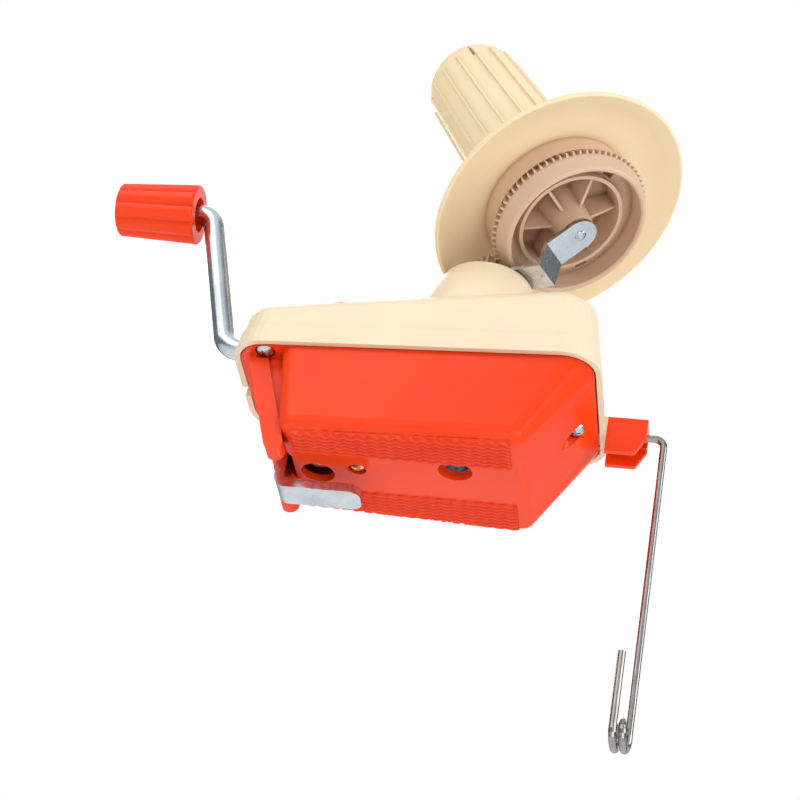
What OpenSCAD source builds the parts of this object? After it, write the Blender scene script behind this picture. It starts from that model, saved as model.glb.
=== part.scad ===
// Hand-cranked yarn ball winder with a table clamp.
// Origin: middle of the ribbed table pad, on the pad's face. +Z is up, +X points to the yarn guide end,
// -X to the crank. Inside the modules lengths are measured from the foot of the spindle's own axis.

/* [Body] */
// Distance from the spindle axis to the crank end wall
crank_reach = 81; // [79:0.5:88]
// Distance from the spindle axis to the guide end wall
guide_reach = 46; // [45:0.5:52]
// Casing width at the crank end
crank_end_w = 58; // [57:0.5:64]
// Casing width at the guide end
guide_end_w = 72.4; // [71:0.2:80]
// How far the casing's middle plane lies behind the spindle and crank axes
axis_offset = 7.3; // [7:0.1:8]
// Height of the casing's rim above the table pad
rim_h = 32; // [31:0.2:35]
// Height of the casing's top at the crank end
crank_end_h = 50.5; // [50:0.5:54]
// Height of the casing's top at the guide end
guide_end_h = 60; // [58.5:0.5:62]
// Wall of the plastic shells
wall = 2.2; // [2:0.1:2.4]
// Plan radius of the casing's corners
corner_r = 13; // [11.5:0.5:14]
// Rounding of the casing's top edge
top_edge_r = 6; // [4.5:0.5:6.5]
// Gap between the cover and the casing's rim
cover_gap = 0.3; // [0.2:0.05:0.4]

/* [Table pad] */
// Pad's edge towards the guide end, from the spindle axis
pad_guide_x = 22; // [18:0.5:23]
// Pad's edge towards the crank end, from the spindle axis
pad_crank_x = 56; // [55:0.5:57]
// Pad's width at the crank end
pad_crank_w = 47.5; // [46:0.5:51]
// Pad's width at the guide end
pad_guide_w = 56.8; // [50:0.2:58]
// Rounding between the pad and the cover's sides
pad_edge_r = 5; // [4:0.5:6]
// Diameter of the two round holes in the pad
pad_hole_d = 11.7; // [11:0.1:12.4]
// How far the table stops reach below the pad
stop_drop = 5.6; // [4:0.2:7]

/* [Spindle] */
// Diameter of the fixed centre post
post_d = 4; // [3.8:0.1:4.2]
// Outer diameter of the turning sleeve
sleeve_d = 6; // [5.8:0.1:6.1]
// Radial running clearance of shafts and axles
run_gap = 0.05; // [0.03:0.01:0.08]
// Height of the dome collar's top
collar_h = 75.9; // [74:0.1:78]
// Radius of the dome collar's top
collar_top_r = 15.5; // [14:0.5:17]
// Radius of the dome collar's foot
collar_foot_r = 22.8; // [21.8:0.2:24]
// Width of the steel arm
arm_w = 12.3; // [11:0.1:13]
// Thickness of the steel arm
arm_t = 1.2; // [1:0.1:1.4]
// Length of the arm's lower tab, from the spindle axis
arm_reach = 22.7; // [21:0.1:24]

/* [Winding cone] */
// Tilt of the winding cone's axis from the spindle axis
lean = 34; // [33:0.5:35]
// Direction in which the cone leans at rest
lean_dir = 158; // [0:1:359]
// Radius of the flange's rim
flange_r = 47.4; // [44:0.2:48]
// Depth of the flange's dish
flange_depth = 5.4; // [4.4:0.2:5.8]
// Radius of the cone at its foot
cone_foot_r = 20; // [18.5:0.1:21]
// Radius of the cone at its shoulder
cone_tip_r = 17.2; // [15.6:0.1:18.4]
// Length of the cone above the flange
cone_len = 83; // [70:1:95]
// Rounding of the cone's tip
tip_round = 8; // [6:0.5:10]
// Number of raised ribs on the cone
cone_ribs = 16; // [12:1:20]
// Height of the ribs on the cone
rib_h = 0.9; // [0.6:0.1:1.2]

/* [Gears] */
// Module of the ring gear and the fixed sun gear, at the teeth's outer ends
planet_module = 0.8; // [0.79:0.005:0.81]
// Length of the ring gear's teeth
planet_face = 5.2; // [4.6:0.1:5.4]
// Module of the crank gear and the spindle pinion, at the teeth's outer ends
drive_module = 0.9; // [0.88:0.01:0.92]
// Length of the drive teeth
drive_face = 3.4; // [2.8:0.1:3.6]

/* [Crank] */
// Diameter of the crank rod
rod_d = 7.6; // [7:0.1:7.8]
// How far the crank shaft lies above the middle of the room at the crank end
shaft_lift = 0.25; // [0:0.05:0.5]
// Radius of the crank's throw
crank_throw = 57.3; // [50:0.1:64]
// Lean of the crank arm away from the casing
crank_lean = 16; // [10:0.5:20]
// Bend radius of the crank rod, along its middle line
rod_bend_r = 7.2; // [6.8:0.1:7.6]
// Length of the grip
grip_len = 29.5; // [27:0.5:36]
// Diameter of the grip at its inner end
grip_d = 22.4; // [21:0.2:24]
// Diameter of the grip at its outer end
grip_end_d = 19.8; // [19:0.2:20.8]
// Number of lobes round the grip
grip_lobes = 10; // [8:1:12]

/* [Yarn guide] */
// Diameter of the guide wire
wire_d = 2.6; // [2.4:0.1:2.7]
// Height of the guide's hinge axis above the casing's rim
guide_rise = 4; // [3.8:0.1:4.4]
// Distance of the guide's hinge axis behind the casing's middle plane
guide_back = 20.2; // [19:0.1:20.6]
// Reach of the guide holder from the casing's end wall
holder_reach = 14; // [12.5:0.5:18]
// Length of the guide's hanging arm, down to the middle of its eye
guide_len = 114.5; // [95:0.5:120]
// Middle diameter of the guide's eye
eye_d = 9; // [8.4:0.1:10]
// Length of the free wire end above the eye
eye_tail = 27.5; // [24:0.5:40]

/* [Table clamp] */
// Distance from the spindle axis to the clamp screw
clamp_x = 48; // [47.5:0.1:48.5]
// Width of the clamp bar
bar_w = 11.6; // [10:0.1:11.8]
// Thickness of the clamp bar
bar_t = 3.3; // [2.8:0.1:3.5]
// Gap between the pad and the jaw at rest
jaw_gap = 6.5; // [5:0.1:9]
// Length of the jaw
jaw_len = 30; // [26:0.5:34]
// Greatest travel of the jaw downwards from rest
jaw_drop = 23; // [18:0.5:23]
// Diameter of the clamp screw
clamp_screw_d = 6; // [5.4:0.1:6.2]
// Diameter of the clamp knob
knob_d = 24; // [22:0.5:27]
// Height of the clamp knob
knob_h = 8.8; // [8:0.2:11]

/* [Hidden] */
$fn = 64;
hull_fn = 32;
fit_gap = 0.02;
pilot_gap = 0.1;

// Places along the body, measured from the spindle axis
pad_mid_x = (pad_guide_x - pad_crank_x) / 2;
mid_y = axis_offset;
clamp_y = axis_offset + 1.3;
plate_z = rim_h - 0.2;
plate_t = 1.8;
crank_room = crank_end_h - wall - plate_z - plate_t;
shaft_h = plate_z + plate_t + crank_room / 2 + shaft_lift;
guide_h = rim_h + guide_rise;

// Casing
crank_draft = 2;
guide_draft = 4.5;
side_draft = 1.6;
band_h = 7;
band_step = 0.4;
boss_r = 3.6;
screw_d = 3;
screw_head_d = 6.6;
screw_head_h = 2.3;
corner_screw_x = crank_reach - 12;
corner_screw_half_y = crank_end_w / 2 - 6.3;
corner_seat_z = rim_h + 0.8;
corner_boss_top = crank_end_h - 4.5;
end_screw_x = guide_reach - 9;
end_seat_z = rim_h - 6.6;
end_seat_top = end_seat_z + 4.6;
end_boss_r = 2.6;
seat_t = 1.6;
collar_plate_z = collar_h - 5.9;
collar_plate_t = 2;
function top_at(x) = crank_end_h + (guide_end_h - crank_end_h) * (x + crank_reach) / (guide_reach + crank_reach);

// Cover
plug_h = 1.6;
tub_crank_x = 63;
floor_t = 2.8;
head_gap = 0.35;
pad_screw_x = 34;
pad_screw_y = axis_offset - 3;
pad_screw_head_d = 5.6;
stop_half_y = 17.4;
stop_w = 7;
stop_web_t = 4.4;
stop_r = 3.25;
stop_foot_x = 60;
stop_head_x = 71.5;

// Slot for the clamp bar
slot_half_w = bar_w / 2 + 1.7;
bar_leg_x = clamp_x + 13.5;
slot_in_x = bar_leg_x - bar_t - 2.2;
slot_out_x = bar_leg_x + 2.5;
slot_wall = 2;

// Spindle stack, from the cover upwards
foot_ring_r = 5.2;
foot_ring_wall = 0.7;
foot_top_z = 10.5;
foot_disc_t = 1.5;
washer_t = 1;
sleeve_foot_z = foot_top_z + washer_t + 0.3;
sleeve_flange_r = 5.5;
sleeve_flange_t = 1.2;
arm_z = collar_h + 0.5;
arm_nut_t = 1.2;
sleeve_top_z = arm_z + arm_t + arm_nut_t;
sun_foot_z = sleeve_top_z + 0.5;
sun_len = 7.6;

// Drive gears
crank_teeth = 30;
pinion_teeth = 12;
pinion_cone = atan(pinion_teeth / crank_teeth);
crank_cone = 90 - pinion_cone;
drive_dist = drive_module * pinion_teeth / 2 / sin(pinion_cone);
pinion_back = drive_dist * cos(pinion_cone) + 3.2;
gear_back = drive_dist * cos(crank_cone) + 2.4;
gear_hub_end = gear_back + 5;
gear_hub_r = rod_d / 2 + 2.2;
pin_d = 1.4;

// Cone's gears, measured downwards from the point where the cone's axis meets the spindle axis
ring_teeth = 72;
sun_teeth = 12;
sun_cone = atan(sin(lean) / (ring_teeth / sun_teeth + cos(lean)));
ring_cone = lean - sun_cone;
ring_pitch_r = planet_module * ring_teeth / 2;
planet_dist = ring_pitch_r / sin(ring_cone);
apex_z = sun_foot_z + 3.6 + planet_dist * cos(sun_cone);
teeth_s = planet_dist * cos(ring_cone);
rim_s = teeth_s + 6.7;
hub_wall_r = ring_pitch_r - 2.2;
hub_wall = 2;
hub_back_r = ring_pitch_r - 1.8;
flange_s = teeth_s - 12.1;
flange_t = 1.9;
web_s = flange_s + 2;
channel_s = teeth_s - 2;
inner_ring_r = 19.6;
inner_ring_wall = 1.3;
inner_ring_s = teeth_s + 1.4;
boss_foot_r = 6.2;
boss_top_r = 8.4;
boss_foot_s = teeth_s + 7.3;
hub_top_s = flange_s - 4.4;
spigot_r = cone_foot_r - wall - 0.4;
axle_d = 4;
axle_washer_t = 0.5;
tab_s = boss_foot_s + 0.7;
tab_back = 11.2;
rivet_r = 2.1;
clip_t = 0.9;
axle_top_s = hub_top_s - 2;

// Crank
shaft_bore_r = rod_d / 2 + run_gap;
bush_fill = 0.61;
bush_flange_r = shaft_bore_r + (crank_room / 2 - shaft_bore_r) * bush_fill;
bush_r = (shaft_bore_r + bush_flange_r) / 2;
bush_flange_t = 1.2;
bush_len = 9;
bearing_x = 24;
bearing_t = 3.4;
rod_corner_x = crank_reach + 6.7;
rod_out = crank_throw * tan(crank_lean);
rod_blend = 0.03;
grip_in_x = rod_corner_x + rod_out + 5.2;
retainer_t = 1.2;

// Guide
guide_y = mid_y + guide_back;
holder_w = 11;
holder_plate = 1.9;
holder_top = guide_h + 4.2;
holder_foot = guide_h - 9.6;
holder_seat_z = rim_h + 0.6;
guide_bush_r = 2.2;
holder_screw_d = 1.6;
holder_screw_y = guide_y + 2.2;
holder_screw_z = guide_h - 3;
wire_bend_r = 3.3;
wire_arm_x = guide_reach + holder_reach + wire_bend_r + 2.5;
eye_turns = 1.5;
eye_pitch = wire_d + 0.6;

// Clamp
jaw_top_z = -jaw_gap;
tongue_z = floor_t + jaw_drop + 2.7;
nut_r = 4.2;
nut_t = 3;
screw_foot_z = 3.2;
knob_seat_z = top_at(-clamp_x) + 0.9;
knob_washer_t = 0.8;
knob_z = knob_seat_z + knob_washer_t + 0.2;
clip_z = top_at(-clamp_x) - wall - 2.4;

// Colours of the materials
cream = [0.97, 0.89, 0.76];
ivory = [0.95, 0.87, 0.69];
red = [0.95, 0.24, 0.13];
beige = [0.84, 0.71, 0.61];
zinc = [0.75, 0.78, 0.81];
stainless = [0.62, 0.60, 0.58];
brass = [0.80, 0.66, 0.38];

// Moves from the spindle axis to the pad's middle
module on_pad() {
  translate([-pad_mid_x, -mid_y, 0]) children();
}

// The cone's own frame: its origin is the point where the cone's axis crosses the spindle axis
module on_cone() {
  on_pad()
    translate([0, 0, apex_z])
      rotate([0, 0, lean_dir])
        rotate([0, lean, 0])
          children();
}

// Lays the Z axis along +X at depth y and height z
module along_x(x, y, z) {
  translate([x, y, z])
    rotate([0, 90, 0])
      children();
}

// Points of an arc about c, from angle a to angle b
function arc(c, r, a, b, n) = [for (i = [0:n]) c + r * [cos(a + (b - a) * i / n), sin(a + (b - a) * i / n)]];

// Flat ring
module ring(outer_r, inner_r, h) {
  difference() {
    cylinder(r = outer_r, h = h);
    translate([0, 0, -1])
      cylinder(r = inner_r, h = h + 2);
  }
}

// Disc of height h with its upper edge rounded by e
module round_disc(r, h, e) {
  rotate_extrude($fn = hull_fn)
    polygon(concat([[0, 0], [r, 0]], arc([r - e, h - e], e, 0, 90, 5), [[0, h]]));
}

// Middle of a casing corner at height z: end -1 is the crank end, side -1 the front
function end_h(end) = end < 0 ? crank_end_h : guide_end_h;
function lift(end, z) = (z - rim_h) / (end_h(end) - rim_h);
function corner_x(end, z) = end < 0 ?
  -crank_reach + corner_r + crank_draft * lift(end, z) :
  guide_reach - corner_r - guide_draft * lift(end, z);
function corner_y(end, side, z) = mid_y + side
  * ((end < 0 ? crank_end_w : guide_end_w) / 2 - corner_r - side_draft * lift(end, z));
function corner_at(end, side, z) = [corner_x(end, z), corner_y(end, side, z), z];

// Drafted casing with its rounded top, grown inwards by shrink
module casing_form(shrink, foot_z) {
  e = max(top_edge_r - shrink, 1);
  hull()
    for (end = [-1, 1], side = [-1, 1]) {
      translate(corner_at(end, side, foot_z))
        cylinder(r = corner_r - shrink, h = 1, $fn = hull_fn);
      translate(corner_at(end, side, end_h(end) - shrink - e))
        round_disc(corner_r - shrink, e, e);
    }
}

// Band round the rim that stands proud of the walls by one fine step
module rim_band() {
  hull()
    for (end = [-1, 1], side = [-1, 1], z = [rim_h, rim_h + band_h])
      translate(corner_at(end, side, z))
        cylinder(r = corner_r, h = 0.2, $fn = hull_fn);
}

// Radius of the dome collar at height z, from its foot inside the casing's top
dome_z = top_at(0) - 4.4;
function dome_r(z) = collar_foot_r - (collar_foot_r - collar_top_r) * pow((z - dome_z) / (collar_h - dome_z), 1.7);

// Dome collar with its recessed top plate, which carries the sleeve
module dome_collar() {
  bead = 0.7;
  steps = 14;
  bore = sleeve_d / 2 + run_gap;
  plate_top = collar_plate_z + collar_plate_t;
  outer = [for (i = [0:steps]) let (z = dome_z + (collar_h - bead - dome_z) * i / steps) [dome_r(z), z]];
  inner = [for (i = [steps:-1:0]) let (z = dome_z + (collar_plate_z - dome_z) * i / steps) [dome_r(z) - wall, z]];
  rotate_extrude()
    polygon(concat(outer, arc([collar_top_r - bead, collar_h - bead], bead, 0, 90, 4),
                   [[collar_top_r - wall, collar_h], [collar_top_r - wall, plate_top],
                    [bore, plate_top], [bore, collar_plate_z]], inner));
}

// Upper shell with the dome collar, its screw bosses and the crank shaft's inner bearing wall
module top_casing() {
  color(cream)
    on_pad()
      difference() {
        union() {
          difference() {
            union() {
              casing_form(band_step, rim_h);
              rim_band();
              translate([-clamp_x, clamp_y, knob_seat_z - 4])
                cylinder(r = knob_d / 2 - 2.4, h = 4);
            }
            casing_form(wall, rim_h - 1);
            translate([0, 0, dome_z - 1])
              cylinder(r = collar_foot_r - wall / 2, h = collar_h);
          }
          dome_collar();
          for (side = [-1, 1])
            translate([-corner_screw_x, mid_y + side * corner_screw_half_y, corner_seat_z + seat_t + cover_gap])
              cylinder(r = boss_r, h = corner_boss_top - corner_seat_z - seat_t - cover_gap);
          intersection() {
            translate([end_screw_x, mid_y, end_seat_top + cover_gap])
              cylinder(r = end_boss_r, h = guide_end_h - end_seat_top - cover_gap);
            casing_form(band_step + 0.4, end_seat_z);
          }
          bearing_wall();
          translate([-clamp_x, clamp_y, top_at(-clamp_x) - wall - 1])
            cylinder(r = clamp_screw_d / 2 + 4, h = 2);
          translate([guide_reach - wall - 1.4, guide_y - holder_w / 2, holder_seat_z])
            cube([wall + 1.4, holder_w, holder_top - holder_seat_z]);
        }
        for (side = [-1, 1])
          translate([-corner_screw_x, mid_y + side * corner_screw_half_y, rim_h])
            cylinder(d = screw_d + 2 * pilot_gap, h = 12);
        translate([end_screw_x, mid_y, end_seat_z])
          cylinder(d = screw_d + 2 * pilot_gap, h = 13);
        along_x(-crank_reach - 1, 0, shaft_h)
          cylinder(r = bush_r + fit_gap, h = 6);
        along_x(-bearing_x - 1, 0, shaft_h)
          cylinder(d = rod_d + 2 * run_gap, h = bearing_t + 2);
        translate([-clamp_x, clamp_y, rim_h])
          cylinder(d = clamp_screw_d + 0.8, h = guide_end_h);
        along_x(guide_reach - 9, guide_y, guide_h)
          cylinder(r = guide_bush_r + fit_gap, h = 12);
        along_x(guide_reach - 9, holder_screw_y, holder_screw_z)
          cylinder(d = holder_screw_d + 2 * pilot_gap, h = 12);
        translate([-crank_reach - 1, mid_y + 1.4, rim_h - 1])
          cube([wall + 2, 5.6, 4]);
      }
}

// Inner wall under the casing's top that carries the crank shaft near its gear
module bearing_wall() {
  half = 7;
  translate([-bearing_x, -half, shaft_h - 6])
    cube([bearing_t, 2 * half, top_at(-bearing_x) - wall / 2 - shaft_h + 6]);
}

// Half of the cover's width at the casing's rim
function rim_half_w(x) = (crank_end_w + (guide_end_w - crank_end_w) * (x + crank_reach) / (crank_reach + guide_reach)) / 2
  - wall - cover_gap;

// Tub of the cover between the pad and the rim, grown inwards by shrink
module tub_form(shrink) {
  e = pad_edge_r - shrink;
  tub_r = 6;
  hull()
    for (side = [-1, 1]) {
      for (end = [-1, 1])
        translate([end < 0 ? -pad_crank_x + 2 : pad_guide_x - 2,
                   mid_y + side * ((end < 0 ? pad_crank_w : pad_guide_w) / 2 - 2), pad_edge_r])
          mirror([0, 0, 1])
            round_disc(e, e, e);
      translate([guide_reach - corner_r, mid_y + side * (guide_end_w / 2 - corner_r), rim_h])
        cylinder(r = corner_r - wall - cover_gap - shrink, h = plug_h + shrink, $fn = hull_fn);
      translate([-tub_crank_x + tub_r, mid_y + side * (rim_half_w(-tub_crank_x) - tub_r), rim_h])
        cylinder(r = tub_r - shrink, h = plug_h + shrink, $fn = hull_fn);
    }
}

// Flat plate of the cover that closes the casing's rim at the crank end
module crank_plate() {
  join_r = 6;
  translate([0, 0, plate_z])
    linear_extrude(plate_t)
      hull()
        for (side = [-1, 1]) {
          translate([-crank_reach + corner_r, mid_y + side * (crank_end_w / 2 - corner_r)])
            circle(r = corner_r - wall - cover_gap, $fn = hull_fn);
          translate([-tub_crank_x + join_r, mid_y + side * (rim_half_w(-tub_crank_x) - join_r)])
            circle(r = join_r, $fn = hull_fn);
        }
}

// Stop that hooks over the table's edge, a slanted strip with a round foot
module table_stop(side) {
  translate([0, mid_y + side * stop_half_y + stop_w / 2, 0])
    rotate([90, 0, 0])
      linear_extrude(stop_w)
        hull() {
          translate([-stop_foot_x, stop_r - stop_drop])
            circle(r = stop_r, $fn = hull_fn);
          translate([-stop_head_x, rim_h - 1.6])
            circle(r = stop_r, $fn = hull_fn);
        }
  translate([0, mid_y + side * stop_half_y + stop_web_t / 2, 0])
    rotate([90, 0, 0])
      linear_extrude(stop_web_t)
        polygon([[-stop_foot_x, pad_edge_r], [-stop_head_x, plate_z + 0.5], [-tub_crank_x + 4, plate_z + 0.5],
                 [-pad_crank_x, pad_edge_r + 2]]);
}

// Lower shell: tub with the pad, the crank end's plate, the stops and the clamp bar's slot
module bottom_cover() {
  slot_y = mid_y - slot_half_w;
  pocket_r = screw_head_d / 2 + head_gap;
  pocket_half_y = corner_screw_half_y + 2.3;
  seat_room = holder_w / 2 + head_gap;
  color(red)
    on_pad()
      difference() {
        union() {
          difference() {
            union() {
              tub_form(0);
              crank_plate();
              for (side = [-1, 1]) table_stop(side);
              translate([-slot_out_x - slot_wall, slot_y - slot_wall, 6])
                cube([slot_out_x + slot_wall - slot_in_x, 2 * (slot_half_w + slot_wall), plate_z - 5]);
            }
            translate([0, 0, floor_t - wall])
              tub_form(wall);
          }
          translate([0, 0, floor_t - 0.5])
            cylinder(r = foot_ring_r + 2.4, h = foot_top_z - foot_disc_t - floor_t + 0.5);
          intersection() {
            translate([end_screw_x, mid_y, 0])
              cylinder(r = pocket_r + 1.6, h = end_seat_top);
            tub_form(0);
          }
          intersection() {
            for (side = [-1, 1])
              translate([-corner_screw_x, mid_y + side * corner_screw_half_y, plate_z])
                cylinder(r = pocket_r + 0.75, h = corner_seat_z + seat_t - plate_z);
            translate([-corner_screw_x - boss_r * 2, mid_y - pocket_half_y, plate_z])
              cube([boss_r * 4, 2 * pocket_half_y, corner_seat_z + seat_t - plate_z]);
          }
          translate([-pad_screw_x, pad_screw_y, floor_t - 0.5])
            cylinder(r = boss_r, h = 9);
        }
        translate([-slot_out_x, slot_y, -1])
          cube([slot_out_x - slot_in_x, 2 * slot_half_w, rim_h + 8]);
        translate([0, 0, -1])
          cylinder(d = pad_hole_d, h = floor_t + 1);
        translate([0, 0, -1])
          cylinder(r = foot_ring_r + fit_gap, h = foot_top_z);
        translate([-clamp_x, clamp_y, -1])
          cylinder(d = pad_hole_d, h = floor_t + 2);
        for (side = [-1, 1])
          translate([-corner_screw_x, mid_y + side * corner_screw_half_y, 0]) {
            translate([0, 0, corner_seat_z - screw_head_h - 0.3])
              cylinder(r = pocket_r, h = screw_head_h + 0.3);
            cylinder(d = screw_d + 2 * pilot_gap, h = rim_h + 8);
          }
        translate([end_screw_x, mid_y, 0]) {
          cylinder(r = pocket_r, h = end_seat_z);
          cylinder(d = screw_d + 2 * pilot_gap, h = rim_h);
        }
        translate([-pad_screw_x, pad_screw_y, -1]) {
          cylinder(d = screw_d + 2 * pilot_gap, h = 14);
          cylinder(d = pad_screw_head_d + 0.8, h = 2.6);
        }
        translate([guide_reach - wall - 4, guide_y - seat_room, holder_seat_z - head_gap])
          cube([wall + 4, 2 * seat_room, plug_h + 1]);
      }
}

// Pan-head screw that points up, its head's seat at z = 0, with a cross recess below
module pan_screw(head_d, head_h, shank_d, len) {
  difference() {
    rotate_extrude()
      polygon(concat([[0, len]],
                     [for (i = [0:8]) [head_d / 2 * sin(90 * i / 8), -head_h * cos(90 * i / 8)]],
                     [[shank_d / 2, 0], [shank_d / 2, len - 0.8], [shank_d / 4, len]]));
    for (turn = [0, 90])
      rotate([0, 0, turn])
        translate([-head_d * 0.28, -head_d * 0.06, -head_h - 1])
          cube([head_d * 0.56, head_d * 0.12, 1 + head_h * 0.55]);
  }
}

// Three screws that hold the cover to the casing
module cover_screws() {
  color(zinc)
    on_pad() {
      for (side = [-1, 1])
        translate([-corner_screw_x, mid_y + side * corner_screw_half_y, corner_seat_z])
          rotate([0, 0, 25 * side])
            pan_screw(screw_head_d, screw_head_h, screw_d, 9);
      translate([end_screw_x, mid_y, end_seat_z])
        pan_screw(screw_head_d, screw_head_h, screw_d, 11);
    }
}

// Small screw in the pad
module pad_screw() {
  color(brass)
    on_pad()
      translate([-pad_screw_x, pad_screw_y, 1.6])
        rotate([0, 0, 30])
          pan_screw(pad_screw_head_d, 1.3, screw_d, 9);
}

// Flanged bush in the crank end wall
module crank_bush() {
  color(beige)
    on_pad()
      along_x(-crank_reach, 0, shaft_h)
        difference() {
          union() {
            cylinder(r = bush_r, h = bush_len);
            translate([0, 0, bush_len - bush_flange_t])
              cylinder(r = bush_flange_r, h = bush_flange_t);
          }
          translate([0, 0, -1])
            cylinder(d = rod_d + 2 * run_gap, h = bush_len + 2);
        }
}

// Fixed steel post on the cup foot that shows in the pad's hole
module centre_post() {
  cup_r = foot_ring_r - foot_ring_wall;
  top = sun_foot_z + sun_len;
  color(zinc)
    on_pad()
      rotate_extrude()
        polygon([[0, foot_top_z - foot_disc_t], [cup_r, foot_top_z - foot_disc_t], [cup_r, floor_t],
                 [foot_ring_r, floor_t], [foot_ring_r, foot_top_z], [post_d / 2, foot_top_z],
                 [post_d / 2, top - 0.4], [post_d / 2 - 0.4, top], [0, top]]);
}

// Washer on the foot that the sleeve turns on
module thrust_washer() {
  color(brass)
    on_pad()
      translate([0, 0, foot_top_z])
        ring(foot_ring_r - 0.4, post_d / 2 + fit_gap, washer_t);
}

// Teeth of a bevel gear whose cone has its tip at the origin and opens downwards.
// n teeth, half angle a, module m at cone distance dist, teeth from dist - face to dist.
module bevel_teeth(n, a, dist, face, m, phase) {
  up = 0.8 * m;
  down = 1.15 * m;
  half_root = 0.68 * m;
  half_tip = 0.28 * m;
  along = [sin(a), 0, -cos(a)];
  out = [cos(a), 0, sin(a)];
  side = [0, 1, 0];
  function section(d) = let (k = d / dist) [
    d * along - k * down * out - k * half_root * side,
    d * along + k * up * out - k * half_tip * side,
    d * along + k * up * out + k * half_tip * side,
    d * along - k * down * out + k * half_root * side];
  for (i = [0:n - 1])
    rotate([0, 0, phase + 360 * i / n])
      polyhedron(
        points = concat(section(dist), section(dist - face)),
        faces = [[0, 1, 2, 3], [7, 6, 5, 4], [0, 4, 5, 1], [1, 5, 6, 2], [2, 6, 7, 3], [3, 7, 4, 0]]);
}

// Point on the root cone of such a gear at cone distance d, as radius and height
function root_point(a, d, dist, m) = let (k = d / dist) [d * sin(a) - k * m * cos(a), -d * cos(a) - k * m * sin(a)];

// Fixed gear on the post that the ring gear walks round
module sun_gear() {
  far = planet_dist + 3;
  low = root_point(sun_cone, far, planet_dist, planet_module);
  high = root_point(sun_cone, far - sun_len + 0.9, planet_dist, planet_module);
  bore = post_d / 2 + fit_gap;
  color(beige)
    on_pad()
      translate([0, 0, apex_z])
        rotate([0, 0, lean_dir + 180]) {
          bevel_teeth(sun_teeth, sun_cone, far - 0.2, sun_len - 1.3, planet_module * (far - 0.2) / planet_dist,
                      180 / sun_teeth);
          rotate_extrude()
            polygon([[bore, low[1]], low, high, [bore, high[1]]]);
        }
}

// Channel on the end wall that carries the yarn guide: two plates, a top web and a slotted end
module guide_holder() {
  len = holder_reach;
  cut = 3.6;
  end_t = 2.2;
  root_t = 2;
  color(red)
    on_pad()
      translate([guide_reach, guide_y, 0])
        difference() {
          union() {
            for (y = [-holder_w / 2 + holder_plate, holder_w / 2])
              translate([0, y, 0])
                rotate([90, 0, 0])
                  linear_extrude(holder_plate)
                    polygon([[0, holder_top], [len, holder_top], [len, guide_h - 3],
                             [len - cut, holder_foot], [0, holder_foot]]);
            translate([0, -holder_w / 2, holder_top - holder_plate])
              cube([len, holder_w, holder_plate]);
            translate([len - end_t, -holder_w / 2, guide_h - 3])
              cube([end_t, holder_w, holder_top - guide_h + 3]);
            translate([0, -holder_w / 2, holder_seat_z])
              cube([root_t, holder_w, holder_top - holder_seat_z]);
          }
          along_x(len - end_t - 1, 0, guide_h)
            cylinder(d = wire_d + 0.8, h = end_t + 2);
          translate([len - end_t - 1, -wire_d / 2 - 0.4, guide_h - 5])
            cube([end_t + 2, wire_d + 0.8, 5]);
          along_x(-1, 0, guide_h)
            cylinder(r = guide_bush_r + fit_gap, h = root_t + 2);
          along_x(-1, holder_screw_y - guide_y, holder_screw_z)
            cylinder(d = holder_screw_d + 2 * pilot_gap, h = root_t + 2);
        }
}

// Bush that the guide wire turns in
module guide_bush() {
  color(stainless)
    on_pad()
      along_x(guide_reach - wall - 1.4, guide_y, guide_h)
        ring(guide_bush_r, wire_d / 2 + run_gap, wall + 5.4);
}

// Screw that holds the channel to the end wall
module holder_screw() {
  color(brass)
    on_pad()
      translate([guide_reach + 2, holder_screw_y, holder_screw_z])
        rotate([0, -90, 0])
          pan_screw(2 * holder_screw_d - 0.6, 0.9, holder_screw_d, 5);
}

// Straight round rod from a to b
module rod(a, b, d) {
  v = b - a;
  translate(a)
    rotate([0, atan2(norm([v[0], v[1]]), v[2]), atan2(v[1], v[0])])
      cylinder(d = d, h = norm(v));
}

// Bent round bar in the XZ plane: about centre c, radius r, from angle a to angle b
module bend(c, r, d, a, b) {
  translate([c[0], 0, c[1]])
    rotate([90, 0, 0])
      rotate([0, 0, a])
        rotate_extrude(angle = b - a)
          translate([r, 0])
            circle(d = d + 2 * rod_blend);
}

// Crank: one bent steel rod, from the gear through the wall, up the arm and into the grip
module crank_rod() {
  turn = 90 - crank_lean;
  back = rod_bend_r * tan(turn / 2);
  dip = 0.4;
  low = [-rod_corner_x, shaft_h];
  high = [-rod_corner_x - rod_out, shaft_h + crank_throw];
  dir = [-sin(crank_lean), cos(crank_lean)];
  a = low + (back - dip) * dir;
  b = high - (back - dip) * dir;
  end_x = grip_in_x + grip_len - 1.6;
  color(zinc)
    on_pad() {
      rod([-gear_back + 0.4, 0, shaft_h], [low[0] + back - dip, 0, shaft_h], rod_d);
      bend([low[0] + back, low[1] + rod_bend_r], rod_bend_r, rod_d, 270 - turn, 270);
      rod([a[0], 0, a[1]], [b[0], 0, b[1]], rod_d);
      bend([high[0] - back, high[1] - rod_bend_r], rod_bend_r, rod_d, 90 - turn, 90);
      rod([high[0] - back + dip, 0, high[1]], [-end_x, 0, high[1]], rod_d);
    }
}

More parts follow.
